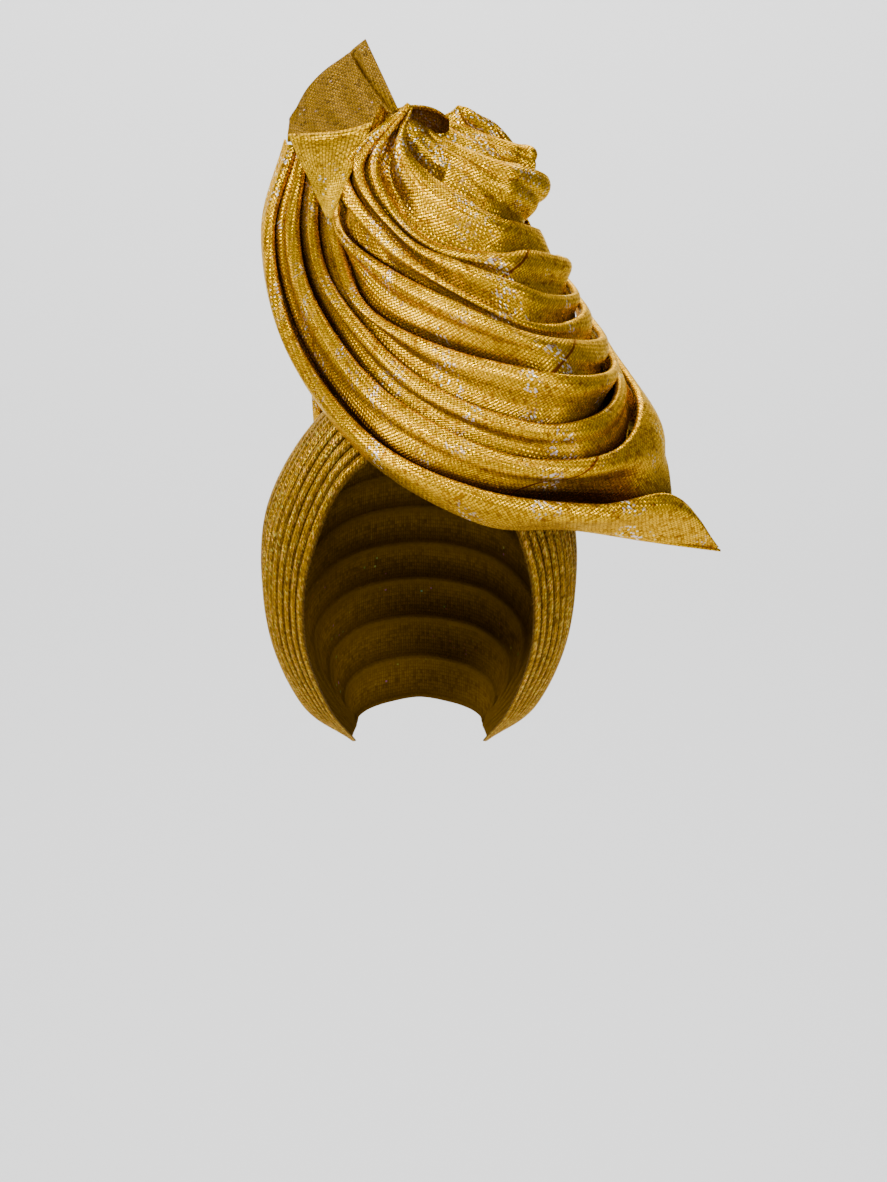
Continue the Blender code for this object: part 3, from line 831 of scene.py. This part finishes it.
@dataclass
class HeadWrap:
    """The ribbed wrap over the head."""

    flat: tuple[float, float] = (0.26, 0.50)
    rib_count: int = RIB_COUNT
    rib_height: float = RIB_HEIGHT
    steps_per_rib: int = 14
    sides: int = 150

    LANDING_STEP = 0.01
    HEIGHT_OVER_HALF_PITCH = 1.3
    CREST_ROUNDNESS = 0.7
    CREST_MIDDLE = 0.5
    # Width of the painted shade in the valleys between the ribs
    VALLEY_WIDTH = 0.8

    @staticmethod
    def mean_surface(lines: Grid, sides: Grid) -> Grid:
        """Points of the mean surface: curves through the rib lines' stations, then curves across them.

        Args:
            lines: places from the face edge at 0 to the nape at 1.
            sides: places from -1 over the middle line at 0 to 1.

        Returns:
            A grid of points, one row a line.
        """
        sizes = np.array((HEAD_WIDTH / 2, HEAD_DEPTH / 2, HEAD_HEIGHT))
        curves = []
        for row in RIB_LINES:
            half = np.array(row) * sizes
            mirrored = half[:0:-1] * (-1, 1, 1)
            curves.append(spline(np.vstack([mirrored, half]), (np.asarray(sides) + 1) / 2))
        stack = np.stack(curves)
        return np.stack([spline(stack[:, k], lines) for k in range(len(sides))], axis=1)

    @staticmethod
    def away_from_head(outward: Grid, points: Grid) -> Grid:
        """How far each way out agrees with the way from the head's middle to its point."""
        return np.sum(outward * (points + (0, 0, HEAD_HEIGHT / 2)), axis=-1, keepdims=True)

    @classmethod
    def landing(cls, stations: Grid, shares: Grid, clearances: float) -> tuple[Grid, Grid]:
        """Points that many clearances off the ribs, along a curve of (rib line, side) stations.

        Returns:
            The points and the ways out from them.
        """
        around = np.array((-cls.LANDING_STEP, 0, cls.LANDING_STEP))
        points, outward = [], []
        for line, side in spline(stations, shares):
            patch = cls.mean_surface(line + around, side + around)
            points.append(patch[1, 1])
            outward.append(grid_normals(patch)[1, 1])
        points, outward = np.array(points), np.array(outward)
        outward *= np.sign(cls.away_from_head(outward, points))
        return points + outward * (RIB_HEIGHT / 2 + LAYER_WALL + clearances * CLEARANCE), outward

    def rib_waves(self) -> tuple[Grid, Grid]:
        """Places from the face edge to the nape, and each one's height over the valleys, from 0 to 1."""
        steps = np.linspace(0, 1, self.rib_count * self.steps_per_rib + 1)
        return steps, np.abs(np.sin(math.pi * steps * self.rib_count))

    def surface(self) -> Grid:
        """The ribbed grid: the mean surface raised by rounded crests with narrow valleys between them."""
        steps, waves = self.rib_waves()
        lines = (1 - RIB_CROWDING) * steps + RIB_CROWDING * steps**2
        grid = self.mean_surface(lines, np.linspace(-1, 1, self.sides + 1))
        half_pitch = np.linalg.norm(np.gradient(grid, axis=0), axis=-1) * self.steps_per_rib / 2
        height = np.minimum(self.rib_height, self.HEIGHT_OVER_HALF_PITCH * half_pitch)
        crest = waves**self.CREST_ROUNDNESS - self.CREST_MIDDLE
        outward = grid_normals(grid)
        outward = outward * np.sign(self.away_from_head(outward, grid).sum())
        return grid + outward * (height * crest[:, None])[:, :, None]

    def build(self) -> bpy.types.Object:
        """The finished wrap, with painted shade in its rib valleys; its rows are turned over so that its
        lining, a darker copy as painted shade, lies inside.
        """
        facts = Declared("head_wrap", "wrap_cloth", self.flat, Hold.GATHERED, ())
        # Painted shade in the valleys between the ribs
        valley = np.exp(-((self.rib_waves()[1] / self.VALLEY_WIDTH) ** 2))
        return cloth_piece(
            "head_wrap_cloth",
            self.surface()[:, ::-1],
            WRAP_CLOTH,
            facts,
            wall=WRAP_WALL,
            painted_shade=valley[:, None],
            slant=math.pi / 2,
            lining=WRAP_INSIDE_SHADE,
        )


@dataclass
class Brim:
    """The lowest fold, with its lining to the wrap and its pointed tail."""

    flat: tuple[float, float] = (0.105, 0.38)
    lining_rows: int = 28
    front_rows: int = 20

    ROOT_CLEARANCES = 1.5
    SWELL = 0.2
    LOW_PULL = 0.35
    HIGH_PULL = 0.3
    # Painted shade under the brim's middle: its strength, where and how wide it lies, and where and how
    # softly it stops up the front face
    SHADE = 0.55
    SHADE_MIDDLE = 0.62
    SHADE_WIDTH = 0.16
    SHADE_TOP = 0.55
    SHADE_SOFTNESS = 0.05

    def surface(self) -> Grid:
        """The grid: lining, turned hem, front face and rolled rim at each place along the brim."""
        s = np.linspace(0, 1, ALONG + 1)
        hem = RimFrame.curve("hem", s)
        high = RimFrame("brim", s)
        span = np.linalg.norm(high.line - hem, axis=1, keepdims=True)
        root, outward = HeadWrap.landing(BRIM_ROOT, s, self.ROOT_CLEARANCES)
        depth = np.interp(s, np.linspace(0, 1, len(LINING_DEPTHS)), LINING_DEPTHS)[:, None]
        behind = hem + np.array((0, 1, 0)) * depth
        lining = np.stack([root, (root + behind) / 2 + outward * LINING_LIFT, behind, hem], axis=1)
        steps = np.linspace(0, 1, self.lining_rows)
        rows = list(np.stack([spline(points, steps) for points in lining], axis=1))
        end = high.line - high.up * high.radius
        swell = high.out * span * self.SWELL
        low_pull = hem + (end - hem) * self.LOW_PULL + swell
        high_pull = end - high.up * span * self.HIGH_PULL + swell
        rows += cubic(hem, low_pull, high_pull, end, np.linspace(0, 1, self.front_rows)[1:])
        rows += high.roll(end)
        return np.stack(rows, axis=1)

    def build(self) -> bpy.types.Object:
        """The finished brim, with painted shade under its middle."""
        facts = Declared("brim", "fan_cloth", self.flat, Hold.FOLDED, ("head_wrap",))
        s = np.linspace(0, 1, ALONG + 1)[:, None]
        front = np.linspace(0, 1, self.front_rows)[1:]
        t = np.concatenate([np.zeros(self.lining_rows), front, np.ones(ROLL)])[None, :]
        middle = np.exp(-(((s - self.SHADE_MIDDLE) / self.SHADE_WIDTH) ** 4))
        painted_shade = self.SHADE * middle / (1 + np.exp((t - self.SHADE_TOP) / self.SHADE_SOFTNESS))
        return cloth_piece("brim_cloth", self.surface(), FAN_CLOTH, facts, painted_shade=painted_shade, slant=BIAS)


@dataclass
class BackDrape:
    """The plain back, which isn't seen in the photograph."""

    flat: tuple[float, float] = (0.165, 0.36)
    rows: int = 60
    pleats: int = 26
    pleat_height: float = 0.003

    ROOT_CLEARANCES = 0.3
    WANDER = 0.6
    WANDER_WAVES = 3
    WANDER_SEED = 4
    FADE_ROUNDNESS = 0.7

    def surface(self) -> Grid:
        """The grid: curves from the outer edge over the fullest line to the wrap, with soft pleats."""
        s = np.linspace(0, 1, ALONG + 1)
        edge, full = fan_points(DRAPE_EDGE, s), fan_points(DRAPE_FULL, s)
        root, _ = HeadWrap.landing(DRAPE_ROOT, s, self.ROOT_CLEARANCES)
        t = np.linspace(0, 1, self.rows)
        sheet = np.stack([spline(np.array(row), t) for row in zip(edge, full, root)])
        wander = self.WANDER * smooth_noise(s, self.WANDER_WAVES, self.WANDER_SEED)
        waves = np.sin(2 * math.pi * (self.pleats * s + wander)) * self.pleat_height / 2
        fade = np.sin(math.pi * t) ** self.FADE_ROUNDNESS
        return sheet + grid_normals(sheet) * waves[:, None, None] * fade[None, :, None]

    def build(self) -> bpy.types.Object:
        """The finished back."""
        facts = Declared("back_drape", "fan_cloth", self.flat, Hold.DRAPED, ("head_wrap",))
        return cloth_piece("back_drape_cloth", self.surface(), FAN_CLOTH, facts)


@dataclass(frozen=True)
class PinchCloths:
    """The flap, the standing end and the small loop at the pinch."""

    across: int = 90
    down: int = 100
    loop_steps: int = 80
    loop_rows: int = 20

    LIP_HEIGHT = 0.0022
    LIP_PLACE = 0.035
    LIP_WIDTH = 0.03
    BOW = 0.006
    RIPPLE = 0.0012
    RIPPLE_TURNS = (1.5, 0.7)
    FOOT_TUCK = 0.004
    CREST_CLEARANCES = 1.7
    STRIP_LEAN = 0.30
    STRIP_HEIGHT = 0.0026
    STRIP_EDGE = 0.012
    VALLEY_HEIGHT = 0.0026
    VALLEY_ASIDE = 0.035
    VALLEY_WIDTH = 0.02
    PLEAT_HEIGHT = 0.0009
    PLEATS = 4.5
    PLEAT_BEND = (0.4, 3.0)
    FADES = (0.15, 0.2, 0.3)
    LOOP_DROP = 0.013
    LOOP_CURL = 0.0015
    LOOP_TAPER = (0.06, 0.88)
    # Where the painted shade across the loop's strip begins and where it is whole
    PAINTED_SHADE_FROM = 0.22
    PAINTED_SHADE_WHOLE = 0.37

    def flap(self) -> bpy.types.Object:
        """The triangle folded down in front: straight lines from its top edge to its foot, bowed out."""
        s = np.linspace(0, 1, self.across)
        top, foot = fan_points(as_back(FLAP_TOP), s), fan_points(as_back(FLAP_FOOT), s)
        t = np.linspace(0, 1, self.down)[None, :, None]
        turns_across, turns_down = self.RIPPLE_TURNS
        lip = self.LIP_HEIGHT * np.exp(-(((t - self.LIP_PLACE) / self.LIP_WIDTH) ** 2))
        ripple = np.sin(2 * math.pi * (turns_across * s[:, None, None] + turns_down * t)) * (1 - t)
        forward = lip + self.BOW * np.sin(math.pi * t) + self.RIPPLE * ripple
        grid = top[:, None] * (1 - t) + foot[:, None] * t + np.array((0, -1, 0)) * forward
        facts = Declared("front_flap", "fan_cloth", (0.040, 0.062), Hold.FOLDED, ("crest_tail",))
        return cloth_piece("front_flap_cloth", grid, FLAP_CLOTH, facts)

    def crest(self) -> bpy.types.Object:
        """The standing end: straight lines up from its foot, soft pleats and a raised strip at the right."""
        s = np.linspace(0, 1, self.across)
        drop = np.array((0, LAYER_WALL + self.CREST_CLEARANCES * CLEARANCE, 0))
        foot, top = fan_points(as_back(CREST_FOOT), s) + drop, fan_points(as_back(CREST_TOP), s) + drop
        up = np.linspace(0, 1, self.down)
        rows = [foot - np.array((0, 0, self.FOOT_TUCK * t)) for t in (1, 0.5)]
        rows += [foot * (1 - t) + top * t for t in up]
        height = np.concatenate([[0, 0], up])[None, :]
        across = s[:, None]
        beyond = across - 1.0 + self.STRIP_LEAN * height
        strip_fade, valley_fade, pleat_fade = (ramp(height, 0, end) for end in self.FADES)
        strip = strip_fade / (1 + np.exp(-beyond / self.STRIP_EDGE))
        valley = valley_fade * np.exp(-(((beyond + self.VALLEY_ASIDE) / self.VALLEY_WIDTH) ** 2))
        bend, bends = self.PLEAT_BEND
        turns = self.PLEATS * across + bend * np.sin(bends * height)
        pleats = pleat_fade * np.sin(2 * math.pi * turns) * (1 - strip)
        forward = self.STRIP_HEIGHT * strip - self.VALLEY_HEIGHT * valley + self.PLEAT_HEIGHT * pleats
        grid = np.stack(rows, axis=1) + np.array((0, -1, 0)) * forward[:, :, None]
        facts = Declared("crest_tail", "fan_cloth", (0.066, 0.064), Hold.FOLDED, ("front_flap",))
        # The standing end wears the darker copy of the fan cloth: painted shade
        return cloth_piece("crest_tail_cloth", grid, CREST_SHADE_CLOTH, facts)

    def loop(self) -> bpy.types.Object:
        """The loop: a narrow strip carried along an arch, with painted shade over the part that falls back
        behind its front edge.
        """
        s = np.linspace(0, 1, self.loop_steps)
        front = fan_points(as_back(LOOP), s)
        first, rest = self.LOOP_TAPER
        taper = np.sin(math.pi * (first + rest * s))[:, None] ** 0.5
        back = np.linspace(0, 1, self.loop_rows)
        fall = self.LOOP_CURL * np.sin(4 * back) - self.LOOP_DROP * back**1.5
        rows = [front + taper * np.array((0, LOOP_WIDTH * k, z)) for k, z in zip(back, fall)]
        facts = Declared("rosette_loop", "fan_cloth", (0.018, 0.031), Hold.FOLDED, ("rosette_cup",))
        # Painted shade over the back of the strip
        painted_shade = ramp(back, self.PAINTED_SHADE_FROM, self.PAINTED_SHADE_WHOLE)[None, :]
        return cloth_piece("rosette_loop_cloth", np.stack(rows, axis=1), FAN_CLOTH, facts, painted_shade=painted_shade)


@dataclass(frozen=True)
class Softbox:
    """A square soft light: where it stands, its side, its power in watts and what it faces."""

    name: str
    place: Point
    size: float
    watts: float
    aim: Point = (0.0, 0.0, 0.0)

    def build(self) -> None:
        """Adds the light."""
        lamp = bpy.data.lights.new(self.name, "AREA")
        lamp.shape = "SQUARE"
        lamp.size = self.size
        lamp.energy = self.watts
        holder = bpy.data.objects.new(self.name, lamp)
        holder.location = self.place
        facing = Vector(self.aim) - Vector(self.place)
        holder.rotation_euler = facing.to_track_quat("-Z", "Y").to_euler()
        bpy.context.scene.collection.objects.link(holder)


SOFTBOXES = (
    Softbox("key", (-0.9, -1.9, 1.2), 0.4, 47),
    Softbox("fill", (1.3, -2.2, 0.3), 0.6, 29),
    Softbox("left", (-2.0, -1.2, 0.3), 0.9, 50),
    Softbox("top", (0.3, -0.7, 1.7), 0.6, 14),
    Softbox("back_left", (-1.2, 0.9, 0.7), 0.6, 5, aim=(0, 0, 0.1)),
    Softbox("wall", (0.0, 1.9, 2.4), 2.2, 192, aim=(0, 3.7, -0.7)),
)


@dataclass(frozen=True)
class Studio:
    """The pale backdrop, the soft lights and the camera."""

    distance: float = 3.0
    centre: tuple[float, float] = (0.0147, -0.1206)
    frame_height: float = 0.7092
    film_height: float = 36.0
    floor: float = -1.0
    floor_front: float = -4.0
    floor_back: float = 2.9
    bend_radius: float = 0.9
    bend_steps: int = 24
    wall_top: float = 3.2
    half_width: float = 4.5
    grey: float = 0.82
    dullness: float = 0.9
    sky: Colour = (0.9, 0.92, 0.95, 1)
    sky_strength: float = 0.24

    def backdrop(self) -> None:
        """A floor that curves up into a wall: a quarter circle between two flat runs."""
        profile = [(self.floor_front, self.floor)]
        for turn in np.linspace(0, math.pi / 2, self.bend_steps):
            back = self.floor_back + self.bend_radius * math.sin(turn)
            profile.append((back, self.floor + self.bend_radius * (1 - math.cos(turn))))
        profile.append((self.floor_back + self.bend_radius, self.wall_top))
        sides = (-self.half_width, self.half_width)
        mesh = grid_mesh("pale_backdrop", np.array([[(x, y, z) for y, z in profile] for x in sides]))
        material = bpy.data.materials.new("pale_paper")
        material.use_nodes = True
        shader = material.node_tree.nodes["Principled BSDF"]
        shader.inputs["Base Color"].default_value = (self.grey, self.grey, self.grey, 1)
        shader.inputs["Roughness"].default_value = self.dullness
        mesh.materials.append(material)
        paper = bpy.data.objects.new("pale_backdrop", mesh)
        bpy.context.scene.collection.objects.link(paper)

    def build(self) -> None:
        """Sets the camera, the lights, the world and the backdrop."""
        scene = bpy.context.scene
        camera = bpy.data.objects.new("camera", bpy.data.cameras.new("camera"))
        camera.data.lens = self.film_height * self.distance / self.frame_height
        camera.location = (self.centre[0], -self.distance, self.centre[1])
        camera.rotation_euler = (math.pi / 2, 0, 0)
        scene.collection.objects.link(camera)
        scene.camera = camera
        world = bpy.data.worlds.new("studio")
        world.use_nodes = True
        sky = world.node_tree.nodes["Background"].inputs
        sky["Color"].default_value = self.sky
        sky["Strength"].default_value = self.sky_strength
        scene.world = world
        for softbox in SOFTBOXES:
            softbox.build()
        self.backdrop()


# One row a cowl fold, from the brim up: (name, lower rim, upper rim, rests on, flat size, swell, left pocket,
# right pocket, ease, creases, seam), and one row a crease: (low, mid, high, width, height, begin, stop)
FOLDS = (
    CowlFold("swag_one", "seat", "one", "brim", (0.040, 0.50), 0.16, 0.05, 0.10, 0.2, creases=(
        Crease(0.30, 0.45, 0.60, 0.24, -0.0022, 0.02, 0.50),
        Crease(0.55, 0.45, 0.35, 0.17, -0.0016, 0.45, 0.95),
    ), seam=0.66),
    CowlFold("swag_two", "one", "two", "swag_one", (0.032, 0.44), 0.16, 0.10, 0.14, 1.0, creases=(
        Crease(0.62, 0.40, 0.30, 0.20, -0.0022, 0.05, 0.60),
        Crease(0.40, 0.55, 0.50, 0.17, -0.0014, 0.50, 0.90),
    )),
    CowlFold("swag_three", "two", "three", "swag_two", (0.033, 0.38), 0.14, 0.10, 0.30, 1.0, creases=(
        Crease(0.45, 0.55, 0.30, 0.22, -0.0028, 0.10, 0.75),
    )),
    CowlFold("swag_four", "three", "four", "swag_three", (0.038, 0.32), 0.14, 0.05, 0.20, 1.0, creases=(
        Crease(0.75, 0.45, 0.30, 0.20, -0.0030, 0.15, 0.75),
        Crease(0.30, 0.30, 0.60, 0.17, 0.0016, 0.30, 0.95),
    ), seam=0.68),
    CowlFold("swag_five", "four", "five", "swag_four", (0.040, 0.28), 0.14, 0.08, 0.05, 0.0, creases=(
        Crease(0.30, 0.40, 0.30, 0.30, -0.0105, 0.03, 0.23),
        Crease(0.45, 0.50, 0.50, 0.26, -0.0016, 0.30, 0.80),
    )),
    CowlFold("swag_six", "five", "six", "swag_five", (0.033, 0.25), 0.12, 0.05, 0.05, 0.4, creases=(
        Crease(0.40, 0.50, 0.50, 0.26, -0.0012, 0.20, 0.80),
    )),
    CowlFold("swag_seven", "six", "seven", "swag_six", (0.034, 0.22), 0.14, 0.10, 0.05, 0.4, creases=(
        Crease(0.35, 0.35, 0.45, 0.26, -0.0035, 0.45, 0.85),
    ), seam=0.62),
    CowlFold("rosette_cup", "seven", "eight", "swag_seven", (0.045, 0.18), 0.16, 0.30, 0.05, 0.2, creases=(
        Crease(0.16, 0.30, 0.40, 0.26, -0.0060, 0.02, 0.30),
        Crease(0.50, 0.45, 0.40, 0.26, -0.0022, 0.30, 0.70),
    )),
    CowlFold("rosette_petal", "eight", "nine", "rosette_cup", (0.058, 0.125), 0.18, 0.50, 0.10, 0.8, creases=(
        Crease(0.10, 0.25, 0.40, 0.24, -0.0080, 0.02, 0.30),
        Crease(0.95, 0.75, 0.45, 0.10, -0.0022, 0.05, 0.60),
        Crease(0.75, 0.55, 0.10, 0.10, -0.0024, 0.12, 0.90),
        Crease(1.00, 0.90, 0.45, 0.08, -0.0018, 0.30, 0.95),
    )),
    CowlFold("rosette_crown", "nine", "ten", "rosette_petal", (0.047, 0.08), 0.18, 0.05, 0.10, 0.0, creases=(
        Crease(0.95, 0.60, 0.10, 0.12, -0.0022, 0.05, 0.80),
        Crease(1.00, 0.90, 0.40, 0.10, -0.0018, 0.30, 0.95),
    )),
    CowlFold("rosette_leaf", "ten", "leaf", "rosette_crown", (0.044, 0.050), 0.10, 0.0, 0.0, 0.5),
)


def main() -> None:
    """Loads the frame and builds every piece."""
    logging.basicConfig(level=logging.INFO)
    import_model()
    Studio().build()
    HeadWrap().build()
    Brim().build()
    for fold in FOLDS:
        fold.build()
    BackDrape().build()
    pinch = PinchCloths()
    pinch.flap()
    pinch.crest()
    pinch.loop()


if __name__ == "__main__":
    main()
